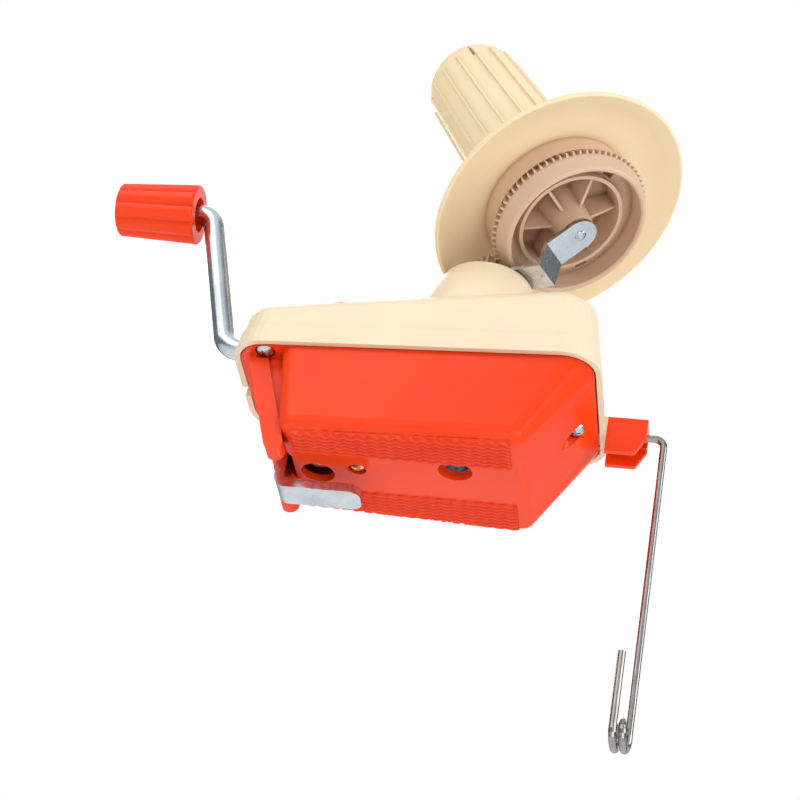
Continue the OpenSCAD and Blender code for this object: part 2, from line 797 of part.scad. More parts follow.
// Bevel gear on the crank shaft
module drive_gear() {
  outer = root_point(crank_cone, drive_dist, drive_dist, drive_module);
  inner = root_point(crank_cone, drive_dist - drive_face, drive_dist, drive_module);
  bore = rod_d / 2 + fit_gap;
  color(beige)
    on_pad()
      along_x(0, 0, shaft_h)
        difference() {
          union() {
            bevel_teeth(crank_teeth, crank_cone, drive_dist, drive_face, drive_module, 0);
            rotate_extrude()
              polygon([[bore, inner[1] - 0.4], [inner[0], inner[1] - 0.4], inner, outer, [outer[0], -gear_back],
                       [gear_hub_r, -gear_back], [gear_hub_r, -gear_hub_end], [bore, -gear_hub_end]]);
          }
          translate([0, 0, -gear_back - 2.6])
            rotate([90, 0, 0])
              cylinder(d = pin_d + 2 * fit_gap, h = 2 * gear_hub_r + 2, center = true);
        }
}

// Two pin ends that lock the gear's hub to the shaft
module gear_pin() {
  color(zinc)
    on_pad()
      translate([-gear_back - 2.6, 0, shaft_h])
        difference() {
          rotate([90, 0, 0])
            cylinder(d = pin_d, h = 2 * gear_hub_r - 0.2, center = true);
          along_x(-3, 0, 0)
            cylinder(d = rod_d + 2 * fit_gap, h = 6);
        }
}

// Spring clip on the shaft, inside the bush
module crank_clip() {
  color(zinc)
    on_pad()
      along_x(-crank_reach + bush_len + 0.3, 0, shaft_h)
        ring(bush_flange_r - 0.2, rod_d / 2 + fit_gap, 1);
}

// Lobed grip that turns on the crank rod
module crank_grip() {
  lobe_r = 36 / grip_lobes;
  taper = atan((grip_d - grip_end_d) / 2 / grip_len);
  well_d = rod_d + 5;
  color(red)
    on_pad()
      translate([-grip_in_x, 0, shaft_h + crank_throw])
        rotate([0, -90, 0])
          difference() {
            intersection() {
              union() {
                cylinder(r1 = grip_d / 2 - lobe_r, r2 = grip_end_d / 2 - lobe_r, h = grip_len);
                for (i = [0:grip_lobes - 1])
                  rotate([0, 0, 360 * (i + 0.5) / grip_lobes])
                    translate([grip_d / 2 - lobe_r, 0, 0])
                      rotate([0, -taper, 0])
                        translate([0, 0, -2])
                          cylinder(r = lobe_r, h = grip_len + 4, $fn = 32);
              }
              rotate_extrude()
                polygon(concat([[0, 0]], arc([grip_d / 2 - 1.2, 1.4], 1.4, -90, 0, 4),
                               arc([grip_end_d / 2 - 1.8, grip_len - 2], 2, 0, 90, 4), [[0, grip_len]]));
            }
            translate([0, 0, -1])
              cylinder(d = rod_d + 2 * run_gap, h = grip_len + 2);
            translate([0, 0, -1])
              cylinder(d = well_d, h = 5);
            translate([0, 0, grip_len - 4])
              cylinder(d = well_d, h = 6);
          }
}

// Washer riveted to the rod's end that keeps the grip on
module grip_washer() {
  color(zinc)
    on_pad()
      translate([-grip_in_x - grip_len + 3.6, 0, shaft_h + crank_throw])
        rotate([0, -90, 0])
          ring(rod_d / 2 + 1.8, rod_d / 2 + fit_gap, retainer_t);
}

// Steel sleeve that turns on the post and carries the arm on its flange
module spindle_sleeve() {
  bore = post_d / 2 + run_gap;
  flange_z = arm_z - sleeve_flange_t;
  color(zinc)
    on_pad()
      rotate_extrude()
        polygon([[bore, sleeve_foot_z], [sleeve_d / 2, sleeve_foot_z], [sleeve_d / 2, flange_z],
                 [sleeve_flange_r, flange_z], [sleeve_flange_r, arm_z], [sleeve_d / 2, arm_z],
                 [sleeve_d / 2, sleeve_top_z], [bore, sleeve_top_z]]);
}

// Bevel pinion on the sleeve, driven by the crank's gear
module spindle_pinion() {
  outer = root_point(pinion_cone, drive_dist, drive_dist, drive_module);
  inner = root_point(pinion_cone, drive_dist - drive_face, drive_dist, drive_module);
  bore = sleeve_d / 2 + fit_gap;
  color(beige)
    on_pad()
      translate([0, 0, shaft_h]) {
        bevel_teeth(pinion_teeth, pinion_cone, drive_dist, drive_face, drive_module, 180 / pinion_teeth);
        rotate_extrude()
          polygon([[bore, inner[1]], inner, outer, [outer[0] + 0.5, outer[1] - 0.5],
                   [outer[0] + 0.5, -pinion_back], [bore, -pinion_back]]);
      }
}

// Middle line of the arm, as distance from the spindle axis and height
arm_mid_z = arm_z + arm_t / 2;
arm_slope = [cos(lean), sin(lean)];
arm_tab = [(tab_s + arm_t / 2) * sin(lean), apex_z - (tab_s + arm_t / 2) * cos(lean)];
arm_line = [[-arm_w / 2, arm_mid_z], [arm_reach, arm_mid_z], arm_tab - tab_back * arm_slope,
            arm_tab + arm_w / 2 * arm_slope];

// One edge of a band at distance t from the line p, with mitred corners
function band_edge(p, t) = let (
    u = [for (i = [0:len(p) - 2]) (p[i + 1] - p[i]) / norm(p[i + 1] - p[i])],
    n = [for (v = u) [-v[1], v[0]]]
  ) [for (i = [0:len(p) - 1])
      i == 0 ? p[0] + t * n[0] :
      i == len(p) - 1 ? p[i] + t * n[i - 1] :
      p[i] + t * (n[i - 1] + n[i]) / (1 + n[i - 1] * n[i])];

// Cutter that rounds the arm's end towards way and makes its hole, about the hole's axis
module arm_end_cut(hole_d, way) {
  side = arm_w / 2;
  over = 1;
  translate([0, 0, -over])
    linear_extrude(arm_t + 2 * over)
      for (s = [-1, 1])
        polygon(concat([[0, s * (side + over)], [0, s * side]],
                       [for (i = [1:17]) side * [way * sin(5 * i), s * cos(5 * i)]],
                       [[way * side, 0], [way * (side + over), 0], [way * (side + over), s * (side + over)]]));
  translate([0, 0, -over])
    cylinder(d = hole_d + 2 * fit_gap, h = arm_t + 2 * over);
}

// Bent steel strip from the sleeve to the cone's axle
module spindle_arm() {
  lower = band_edge(arm_line, -arm_t / 2);
  color(zinc)
    on_pad()
      rotate([0, 0, lean_dir + 180])
        difference() {
          translate([0, arm_w / 2, 0])
            rotate([90, 0, 0])
              linear_extrude(arm_w)
                polygon(concat(band_edge(arm_line, arm_t / 2), [for (i = [len(lower) - 1:-1:0]) lower[i]]));
          translate([0, 0, arm_z])
            arm_end_cut(sleeve_d, -1);
          translate([arm_tab[0], 0, arm_tab[1]])
            rotate([0, -lean, 0])
              translate([0, 0, -arm_t / 2])
                arm_end_cut(axle_d, 1);
        }
}

// Low nut that holds the arm on the sleeve
module arm_nut() {
  color(zinc)
    on_pad()
      translate([0, 0, arm_z + arm_t])
        difference() {
          cylinder(r = 5, h = arm_nut_t, $fn = 6);
          translate([0, 0, -1])
            cylinder(d = sleeve_d + 2 * fit_gap, h = arm_nut_t + 2);
        }
}

// Steel axle riveted into the arm
module cone_axle() {
  rivet_h = 0.9;
  seat = tab_s + arm_t;
  color(zinc)
    on_cone()
      rotate_extrude()
        polygon(concat([[0, -axle_top_s]],
                       [for (i = [0:6]) [rivet_r * sin(15 * i), -seat - rivet_h * cos(15 * i)]],
                       [[axle_d / 2, -seat], [axle_d / 2, -axle_top_s - 0.4], [axle_d / 2 - 0.4, -axle_top_s]]));
}

// Washer between the arm and the hub's boss
module axle_washer() {
  color(zinc)
    on_cone()
      translate([0, 0, -tab_s])
        ring(axle_d / 2 + 2.4, axle_d / 2 + fit_gap, axle_washer_t);
}

// Clip on the axle above the hub
module axle_clip() {
  color(zinc)
    on_cone()
      translate([0, 0, -hub_top_s + 0.3])
        ring(axle_d / 2 + 2.2, axle_d / 2 + fit_gap, clip_t);
}

// Points of a soft corner at b between a and c
function soft_corner(a, b, c, n) = [for (i = [0:n]) let (t = i / n)
  (1 - t) * (1 - t) * a + 2 * t * (1 - t) * b + t * t * c];

// Winding cone with its dished flange, one moulding
module winding_cone() {
  low = -flange_s;
  foot = low + flange_t;
  top = foot + cone_len;
  shoulder = top - tip_round;
  dish_r = flange_r - 9.6;
  soft = 4.4;
  slope = flange_depth / (flange_r - dish_r);
  edge_r = flange_t / 2;
  edge_z = low - flange_depth + slope * edge_r + edge_r;
  bore = spigot_r + fit_gap;
  tip_c = [cone_tip_r - tip_round, shoulder];
  rib_turn = 4;
  slit_turn = 113.4;
  slit_w = 1;
  color(ivory)
    on_cone() {
      difference() {
        rotate_extrude($fn = 96)
          polygon(concat(
            [[bore, low]],
            soft_corner([dish_r - soft, low], [dish_r, low], [dish_r + soft, low - slope * soft], 6),
            [[flange_r - edge_r, edge_z - edge_r]],
            arc([flange_r - edge_r, edge_z], edge_r, -60, 60, 6),
            soft_corner([dish_r + 0.6 + soft, foot - slope * soft], [dish_r + 0.6, foot],
                        [dish_r + 0.6 - soft, foot], 6),
            soft_corner([cone_foot_r + 4, foot], [cone_foot_r, foot], [cone_foot_r, foot + 4], 5),
            arc(tip_c, tip_round, 0, 80, 8),
            [[0, top], [0, top - wall]],
            arc(tip_c, tip_round - wall, 80, 0, 6),
            [[bore, foot + 4]]));
        rotate([0, 0, slit_turn])
          translate([tip_c[0], -slit_w / 2, shoulder - 4])
            cube([tip_round + 2, slit_w, tip_round + 5]);
      }
      for (i = [0:cone_ribs - 1])
        rotate([0, 0, rib_turn + 360 * i / cone_ribs])
          cone_rib(foot + 2.2, shoulder);
    }
}

// One raised rib of the cone, from height low to height high
module cone_rib(low, high) {
  half = 0.75;
  sink = 0.8;
  polyhedron(
    points = [
      [cone_foot_r - sink, -half, low], [cone_foot_r + rib_h, -half * 0.6, low],
      [cone_foot_r + rib_h, half * 0.6, low], [cone_foot_r - sink, half, low],
      [cone_tip_r - sink, -half, high], [cone_tip_r + rib_h, -half * 0.6, high - 1],
      [cone_tip_r + rib_h, half * 0.6, high - 1], [cone_tip_r - sink, half, high]],
    faces = [[0, 1, 2, 3], [7, 6, 5, 4], [0, 4, 5, 1], [1, 5, 6, 2], [2, 6, 7, 3], [3, 7, 4, 0]]);
}

// Ring gear and hub under the flange, one moulding
module ring_gear() {
  ribs = 6;
  rib_t = 1;
  outer = root_point(ring_cone, planet_dist, planet_dist, planet_module);
  inner = root_point(ring_cone, planet_dist - planet_face, planet_dist, planet_module);
  bore = axle_d / 2 + run_gap;
  inner_r = inner_ring_r - inner_ring_wall;
  channel_r = hub_wall_r - hub_wall;
  color(beige)
    on_cone() {
      bevel_teeth(ring_teeth, ring_cone, planet_dist, planet_face, planet_module, 0);
      difference() {
        rotate_extrude($fn = 96)
          polygon([[channel_r, -channel_s], [channel_r, -rim_s + 0.6], [channel_r + 0.6, -rim_s],
                   [hub_wall_r - 0.6, -rim_s], [hub_wall_r, -rim_s + 0.6], [outer[0], outer[1] - 0.6],
                   outer, inner, [hub_back_r, inner[1]], [hub_back_r, -flange_s], [spigot_r, -flange_s],
                   [spigot_r, -hub_top_s], [bore, -hub_top_s], [bore, -boss_foot_s], [boss_foot_r, -boss_foot_s],
                   [boss_top_r, -web_s], [inner_r, -web_s], [inner_r, -inner_ring_s],
                   [inner_ring_r, -inner_ring_s], [inner_ring_r, -channel_s]]);
        for (turn = [44, 164, 284])
          rotate([0, 0, turn])
            translate([inner_ring_r + 0.5, -2.2, -channel_s - 1])
              cube([channel_r - inner_ring_r - 1, 4.4, channel_s - flange_s + 4]);
      }
      for (i = [0:ribs - 1])
        rotate([90, 0, 360 * (i + 0.5) / ribs])
          translate([0, 0, -rib_t / 2])
            linear_extrude(rib_t)
              polygon([[boss_foot_r + 0.4, -web_s + 0.5], [boss_foot_r + 0.4, -teeth_s - 1],
                       [inner_r + 0.3, -teeth_s + 2], [inner_r + 0.3, -web_s + 0.5]]);
    }
}

// Points of a circle of radius r about p, in the plane of u and v
function circle_points(p, u, v, r, n) = [for (i = [0:n - 1]) p + r * (u * cos(360 * i / n) + v * sin(360 * i / n))];

// Closed skin over circles of n points
function skin_faces(count, n) = concat(
  [[for (i = [0:n - 1]) i]],
  [for (k = [0:count - 2], i = [0:n - 1], half = [0, 1]) let (j = (i + 1) % n)
    half == 0 ? [k * n + i, (k + 1) * n + i, (k + 1) * n + j] : [k * n + i, (k + 1) * n + j, k * n + j]],
  [[for (i = [0:n - 1]) count * n - 1 - i]]);

// Eye of the yarn guide: turns of wire about the X axis on its front side, then the free end
module guide_eye() {
  n = 14;
  steps = 36;
  r = eye_d / 2;
  coil = [for (k = [0:steps]) let (a = 360 * eye_turns * k / steps)
    [-eye_pitch * eye_turns * k / steps, r * cos(a) - r, -r * sin(a)]];
  path = concat([coil[0] + [0, 0, 2]], coil, [coil[steps] + [0, 0, eye_tail]]);
  last = len(path) - 1;
  dirs = [for (k = [0:last]) let (t = path[min(k + 1, last)] - path[max(k - 1, 0)])
    k == 0 || k == last ? [0, 0, k == 0 ? -1 : 1] : t / norm(t)];
  points = [for (k = [0:last]) let (
      u = cross(dirs[k], [1, 0, 0]) / norm(cross(dirs[k], [1, 0, 0])),
      v = cross(dirs[k], u))
    each circle_points(path[k], u, v, wire_d / 2 + 2 * rod_blend, n)];
  polyhedron(points = points, faces = skin_faces(len(path), n));
}

// Yarn guide: one stainless wire, hinged along X, with an eye at its end
module yarn_guide() {
  dip = 0.3;
  foot_z = guide_h - guide_len;
  bend_x = wire_arm_x - wire_bend_r;
  color(stainless)
    on_pad()
      translate([0, guide_y, 0]) {
        rod([guide_reach - wall - 3.6, 0, guide_h], [bend_x + dip, 0, guide_h], wire_d);
        bend([bend_x, guide_h - wire_bend_r], wire_bend_r, wire_d, 0, 90);
        rod([wire_arm_x, 0, guide_h - wire_bend_r + dip], [wire_arm_x, 0, foot_z + 1], wire_d);
        translate([wire_arm_x, 0, foot_z])
          guide_eye();
      }
}

// Clip on the wire's inner end that keeps it in the bush
module guide_clip() {
  color(zinc)
    on_pad()
      along_x(guide_reach - wall - 2.8, guide_y, guide_h)
        ring(wire_d / 2 + 1.6, wire_d / 2 + fit_gap, 0.9);
}

// Bent flat steel bar: jaw below, leg through the slot, tongue inside that carries the nut
module clamp_bar() {
  end_r = 4;
  bend_in = 0.8;
  bend_out = bend_in + bar_t;
  tongue_len = bar_leg_x - clamp_x + 6;
  low = jaw_top_z - bar_t;
  high = tongue_z + bar_t;
  color(zinc)
    on_pad()
      translate([-bar_leg_x, clamp_y, 0])
        difference() {
          union() {
            translate([0, bar_w / 2, 0])
              rotate([90, 0, 0])
                linear_extrude(bar_w)
                  polygon(concat([[jaw_len - end_r, jaw_top_z], [jaw_len - end_r, low]],
                                 arc([bend_out, low + bend_out], bend_out, 270, 180, 8),
                                 arc([bend_out, high - bend_out], bend_out, 180, 90, 8),
                                 [[tongue_len, high], [tongue_len, tongue_z]],
                                 arc([bend_out, high - bend_out], bend_in, 90, 180, 4),
                                 arc([bend_out, low + bend_out], bend_in, 180, 270, 4)));
            translate([0, 0, low])
              linear_extrude(bar_t)
                hull()
                  for (side = [-1, 1])
                    translate([jaw_len - end_r, side * (bar_w / 2 - end_r)])
                      circle(r = end_r);
          }
          translate([bar_leg_x - clamp_x, 0, tongue_z - 1])
            cylinder(d = clamp_screw_d + 0.8, h = bar_t + 2);
        }
}

// Nut riveted to the bar's tongue
module clamp_nut() {
  color(zinc)
    on_pad()
      translate([-clamp_x, clamp_y, tongue_z + bar_t])
        ring(nut_r, clamp_screw_d / 2 + run_gap, nut_t);
}

// Clamp screw, its thread drawn as a plain rod
module clamp_screw() {
  color(zinc)
    on_pad()
      translate([-clamp_x, clamp_y, screw_foot_z])
        cylinder(d = clamp_screw_d, h = knob_z + knob_h - 2 - screw_foot_z);
}

// Scalloped knob on top of the casing
module clamp_knob() {
  lobes = 8;
  lobe_r = 3;
  color(red)
    on_pad()
      translate([-clamp_x, clamp_y, knob_z])
        difference() {
          rotate_extrude()
            polygon(concat([[0, 0], [knob_d / 2 - 0.8, 0], [knob_d / 2, 0.8]],
                           arc([knob_d / 2 - 2, knob_h - 2], 2, 0, 90, 5), [[0, knob_h]]));
          for (i = [0:lobes - 1])
            rotate([0, 0, 360 * i / lobes])
              translate([knob_d / 2 + 1.4, 0, -1])
                cylinder(r = lobe_r, h = knob_h + 2);
          translate([0, 0, -1])
            cylinder(d = clamp_screw_d + 2 * fit_gap, h = knob_h - 1);
        }
}

// Washer under the knob
module knob_washer() {
  color(zinc)
    on_pad()
      translate([-clamp_x, clamp_y, knob_seat_z])
        ring(clamp_screw_d / 2 + 4.5, clamp_screw_d / 2 + 0.4, knob_washer_t);
}

// Clip on the screw under the casing's top
module screw_clip() {
  color(zinc)
    on_pad()
      translate([-clamp_x, clamp_y, clip_z])
        ring(clamp_screw_d / 2 + 2.4, clamp_screw_d / 2 + fit_gap, 1);
}

top_casing();
bottom_cover();
cover_screws();
pad_screw();
crank_bush();
centre_post();
thrust_washer();
sun_gear();
guide_holder();
guide_bush();
holder_screw();
crank_rod();
drive_gear();
gear_pin();
crank_clip();
crank_grip();
grip_washer();
spindle_sleeve();
spindle_pinion();
spindle_arm();
arm_nut();
cone_axle();
axle_washer();
axle_clip();
winding_cone();
ring_gear();
yarn_guide();
guide_clip();
clamp_bar();
clamp_nut();
clamp_screw();
clamp_knob();
knob_washer();
screw_clip();
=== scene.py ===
import bpy
import numpy as np
from mathutils import Matrix, Vector


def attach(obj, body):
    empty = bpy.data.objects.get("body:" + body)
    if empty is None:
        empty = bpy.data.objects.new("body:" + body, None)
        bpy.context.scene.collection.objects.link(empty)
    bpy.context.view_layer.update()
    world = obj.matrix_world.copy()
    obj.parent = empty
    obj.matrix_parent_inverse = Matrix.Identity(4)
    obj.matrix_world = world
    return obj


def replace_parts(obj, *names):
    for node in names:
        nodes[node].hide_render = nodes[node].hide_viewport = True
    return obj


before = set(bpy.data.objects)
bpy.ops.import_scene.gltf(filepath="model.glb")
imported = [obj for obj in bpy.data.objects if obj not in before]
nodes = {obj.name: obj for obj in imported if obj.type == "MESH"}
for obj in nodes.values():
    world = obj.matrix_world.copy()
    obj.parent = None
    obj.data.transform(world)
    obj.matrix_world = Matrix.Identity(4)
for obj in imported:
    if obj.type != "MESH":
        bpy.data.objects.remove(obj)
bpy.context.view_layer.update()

# The studio: a long lens a little below the table line, looking up at the pad,
# with a pale floor far below and soft boxes all round, as for a catalogue picture.
camera_place = Vector((0.132458, -0.661730, -0.383510))
camera_right = Vector((0.981041, 0.106026, 0.162228))
camera_down = Vector((0.079945, 0.541144, -0.837121))
camera_ahead = camera_right.cross(camera_down)
camera_data = bpy.data.cameras.new("studio_camera")
camera_data.sensor_width = 36
camera_data.lens = 103.5
camera_data.clip_start = 0.01
camera = bpy.data.objects.new("studio_camera", camera_data)
axes = Matrix((camera_right, -camera_down, -camera_ahead)).transposed().to_4x4()
camera.matrix_world = Matrix.Translation(camera_place) @ axes
bpy.context.scene.collection.objects.link(camera)
bpy.context.scene.camera = camera
bpy.context.scene.view_settings.view_transform = "Standard"


def soft_box(name, place, size, power):
    """A square area lamp at place, turned towards the middle of the object."""
    middle = Vector((0.0, 0.0, 0.06))
    lamp = bpy.data.lights.new(name, "AREA")
    lamp.size = size
    lamp.energy = power
    box = bpy.data.objects.new(name, lamp)
    box.matrix_world = (middle - Vector(place)).to_track_quat("-Z", "Y").to_matrix().to_4x4()
    box.matrix_world.translation = Vector(place)
    bpy.context.scene.collection.objects.link(box)


soft_box("key_box", (-0.60, -0.70, 0.75), size=1.0, power=3.6)
soft_box("low_box", (0.62, -0.75, -0.80), size=1.5, power=21.0)
soft_box("side_box", (1.0, -0.2, 0.35), size=0.6, power=3.0)
soft_box("back_box", (-0.35, 0.85, 0.65), size=0.7, power=5.0)

# White is what the camera sees behind the object. Plastic is lit by an even pale
# room, and bright metal mirrors a room that is darker towards its two side walls.
world = bpy.data.worlds.new("white_room")
world.use_nodes = True
bpy.context.scene.world = world
room = world.node_tree
room.nodes.clear()
seen_white = room.nodes.new("ShaderNodeBackground")
seen_white.inputs["Color"].default_value = (1, 1, 1, 1)
seen_white.inputs["Strength"].default_value = 1.0
room_light = room.nodes.new("ShaderNodeBackground")
room_light.inputs["Color"].default_value = (0.97, 0.985, 1.0, 1)
room_light.inputs["Strength"].default_value = 0.80
mirrored = room.nodes.new("ShaderNodeBackground")
mirrored.inputs["Color"].default_value = (0.95, 0.98, 1.0, 1)
direction = room.nodes.new("ShaderNodeTexCoord")
parts = room.nodes.new("ShaderNodeSeparateXYZ")
sideways = room.nodes.new("ShaderNodeMath")
sideways.operation = "ABSOLUTE"
dark_walls = room.nodes.new("ShaderNodeMapRange")
for end, value in (("From Min", 0.30), ("From Max", 0.62), ("To Min", 0.85), ("To Max", 0.20)):
    dark_walls.inputs[end].default_value = value
room.links.new(direction.outputs["Generated"], parts.inputs[0])
room.links.new(parts.outputs["X"], sideways.inputs[0])
room.links.new(sideways.outputs[0], dark_walls.inputs["Value"])
room.links.new(dark_walls.outputs["Result"], mirrored.inputs["Strength"])
which_ray = room.nodes.new("ShaderNodeLightPath")
lit_or_mirrored = room.nodes.new("ShaderNodeMixShader")
choose = room.nodes.new("ShaderNodeMixShader")
room_out = room.nodes.new("ShaderNodeOutputWorld")
room.links.new(which_ray.outputs["Is Glossy Ray"], lit_or_mirrored.inputs[0])
room.links.new(room_light.outputs[0], lit_or_mirrored.inputs[1])
room.links.new(mirrored.outputs[0], lit_or_mirrored.inputs[2])
room.links.new(which_ray.outputs["Is Camera Ray"], choose.inputs[0])
room.links.new(lit_or_mirrored.outputs[0], choose.inputs[1])
room.links.new(seen_white.outputs[0], choose.inputs[2])
room.links.new(choose.outputs[0], room_out.inputs["Surface"])

floor_half = 3.0
floor_z = -0.46
floor_mesh = bpy.data.meshes.new("floor")
floor_corners = ((-1, -1), (1, -1), (1, 1), (-1, 1))
floor_mesh.from_pydata([(x * floor_half, y * floor_half, floor_z) for x, y in floor_corners],
                       [], [(0, 1, 2, 3)])
floor = bpy.data.objects.new("floor", floor_mesh)
bpy.context.scene.collection.objects.link(floor)
paper = bpy.data.materials.new("floor_paper")
paper.use_nodes = True
paper_surface = paper.node_tree.nodes["Principled BSDF"]
paper_surface.inputs["Base Color"].default_value = (0.86, 0.86, 0.85, 1)
paper_surface.inputs["Roughness"].default_value = 0.8
floor_mesh.materials.append(paper)


# Top casing: the cream half of the body, one shell of moulded plastic with a
# dome collar. It carries every other piece and is screwed to the red cover.
def shader(tree, kind, **values):
    """One node of a shader tree; each keyword names an input socket and its value."""
    node = tree.nodes.new("ShaderNode" + kind)
    for name, value in values.items():
        node.inputs[name.replace("_", " ")].default_value = value
    return node


def node_group(name, inputs, outputs):
    """An empty shader group with named sockets, given as (name, kind, default)."""
    group = bpy.data.node_groups.new(name, "ShaderNodeTree")
    for label, kind, value in inputs:
        socket = group.interface.new_socket(label, in_out="INPUT", socket_type="NodeSocket" + kind)
        socket.default_value = value
    for label, kind in outputs:
        group.interface.new_socket(label, in_out="OUTPUT", socket_type="NodeSocket" + kind)
    return group, group.nodes.new("NodeGroupInput"), group.nodes.new("NodeGroupOutput")


def maths(tree, work, first, second):
    """A Math node; each operand is an output socket or a number."""
    node = tree.nodes.new("ShaderNodeMath")
    node.operation = work
    for slot, operand in zip(node.inputs, (first, second)):
        if isinstance(operand, (int, float)):
            slot.default_value = operand
        else:
            tree.links.new(operand, slot)
    return node.outputs[0]


def noise(tree, where, *, scale, detail, rough=0.5):
    """Noise over the coordinates where; scale is a number or a socket, per metre."""
    node = shader(tree, "TexNoise", Detail=detail, Roughness=rough)
    tree.links.new(where, node.inputs["Vector"])
    if isinstance(scale, (int, float)):
        node.inputs["Scale"].default_value = scale
    else:
        tree.links.new(scale, node.inputs["Scale"])
    return node.outputs["Fac"]


def spread(tree, value, low, high, *, to_low=0.0, to_high=1.0):
    """Maps value from low..high to to_low..to_high, held at the ends."""
    node = tree.nodes.new("ShaderNodeMapRange")
    tree.links.new(value, node.inputs["Value"])
    ends = {"From Min": low, "From Max": high, "To Min": to_low, "To Max": to_high}
    for name, end in ends.items():
        if isinstance(end, (int, float)):
            node.inputs[name].default_value = end
        else:
            tree.links.new(end, node.inputs[name])
    return node.outputs["Result"]


def blended(tree, amount, first, second):
    """Mixes two colours by amount; the second is a socket or a fixed colour."""
    node = tree.nodes.new("ShaderNodeMix")
    node.data_type = "RGBA"
    first_colour, second_colour, mixed_colour = node.inputs[6], node.inputs[7], node.outputs[2]
    tree.links.new(amount, node.inputs["Factor"])
    tree.links.new(first, first_colour)
    if isinstance(second, tuple):
        second_colour.default_value = second
    else:
        tree.links.new(second, second_colour)
    return mixed_colour


def build_pigment():
    """Colour of moulded plastic: two tints that drift into each other along the
    flow of the melt, with a fine fleck of pigment on top."""
    group, given, out = node_group(
        "pigment_drift",
        [("Tint", "Color", (1, 1, 1, 1)), ("Shade", "Color", (0.8, 0.8, 0.8, 1)),
         ("Drift Scale", "Float", 30.0), ("Fleck", "Float", 0.15)],
        [("Color", "Color")])
    where = group.nodes.new("ShaderNodeTexCoord").outputs["Object"]
    slow = noise(group, where, scale=given.outputs["Drift Scale"], detail=4)
    fine = noise(group, where, scale=2600.0, detail=1)
    drift = spread(group, slow, 0.35, 0.75)
    fleck = spread(group, fine, 0.45, 0.75, to_high=given.outputs["Fleck"])
    amount = maths(group, "MAXIMUM", drift, fleck)
    colour = blended(group, amount, given.outputs["Tint"], given.outputs["Shade"])
    group.links.new(colour, out.inputs["Color"])
    return group


def build_grain():
    """Skin of a mould: fine spark-eroded grain as height, and a gloss that varies
    slowly where the melt cooled unevenly or hands have rubbed it."""
    group, given, out = node_group(
        "mould_grain",
        [("Grain Scale", "Float", 1500.0), ("Gloss", "Float", 0.3), ("Dull", "Float", 0.5)],
        [("Roughness", "Float"), ("Height", "Float")])
    where = group.nodes.new("ShaderNodeTexCoord").outputs["Object"]
    slow = noise(group, where, scale=55.0, detail=5, rough=0.6)
    rubbed = spread(group, slow, 0.3, 0.7, to_low=given.outputs["Gloss"], to_high=given.outputs["Dull"])
    group.links.new(rubbed, out.inputs["Roughness"])
    fine = noise(group, where, scale=given.outputs["Grain Scale"], detail=2)
    wave = noise(group, where, scale=45.0, detail=2)
    grain_height = maths(group, "MULTIPLY", fine, 0.25)
    wave_height = maths(group, "MULTIPLY", wave, 2.0)
    group.links.new(maths(group, "ADD", grain_height, wave_height), out.inputs["Height"])
    return group


def build_edge_wear():
    """Mask of the outer edges: how far the rounded normal leans from the true one,
    broken up by noise so that the rubbed line is uneven."""
    group, given, out = node_group(
        "edge_wear",
        [("Width", "Float", 0.0006), ("Breaks", "Float", 260.0)],
        [("Mask", "Float")])
    rounded = shader(group, "Bevel")
    rounded.samples = 4
    group.links.new(given.outputs["Width"], rounded.inputs["Radius"])
    true_normal = group.nodes.new("ShaderNodeNewGeometry").outputs["Normal"]
    lean = group.nodes.new("ShaderNodeVectorMath")
    lean.operation = "DOT_PRODUCT"
    group.links.new(rounded.outputs[0], lean.inputs[0])
    group.links.new(true_normal, lean.inputs[1])
    edge = spread(group, lean.outputs["Value"], 0.97, 0.80)
    where = group.nodes.new("ShaderNodeTexCoord").outputs["Object"]
    breaks = noise(group, where, scale=given.outputs["Breaks"], detail=4, rough=0.65)
    broken = spread(group, breaks, 0.35, 0.6, to_low=0.15)
    group.links.new(maths(group, "MULTIPLY", edge, broken), out.inputs["Mask"])
    return group


def build_cavity():
    """Mask of painted shade in the hollows: how much of the near surroundings a point is hidden from,
    which is where the colour is darkened as painted shade."""
    group, given, out = node_group(
        "painted_cavity_shade",
        [("Reach", "Float", 0.0024), ("Depth", "Float", 0.75)],
        [("Mask", "Float")])
    hidden = shader(group, "AmbientOcclusion")
    hidden.samples = 6
    group.links.new(given.outputs["Reach"], hidden.inputs["Distance"])
    shade = spread(group, hidden.outputs["AO"], 0.95, 0.35)
    group.links.new(maths(group, "MULTIPLY", shade, given.outputs["Depth"]), out.inputs["Mask"])
    return group


pigment_drift = build_pigment()
mould_grain = build_grain()
edge_wear = build_edge_wear()
painted_cavity_shade = build_cavity()


def grouped(tree, group, **values):
    """Places a shader group in a tree and sets its inputs."""
    node = tree.nodes.new("ShaderNodeGroup")
    node.node_tree = group
    for name, value in values.items():
        node.inputs[name.replace("_", " ")].default_value = value
    return node


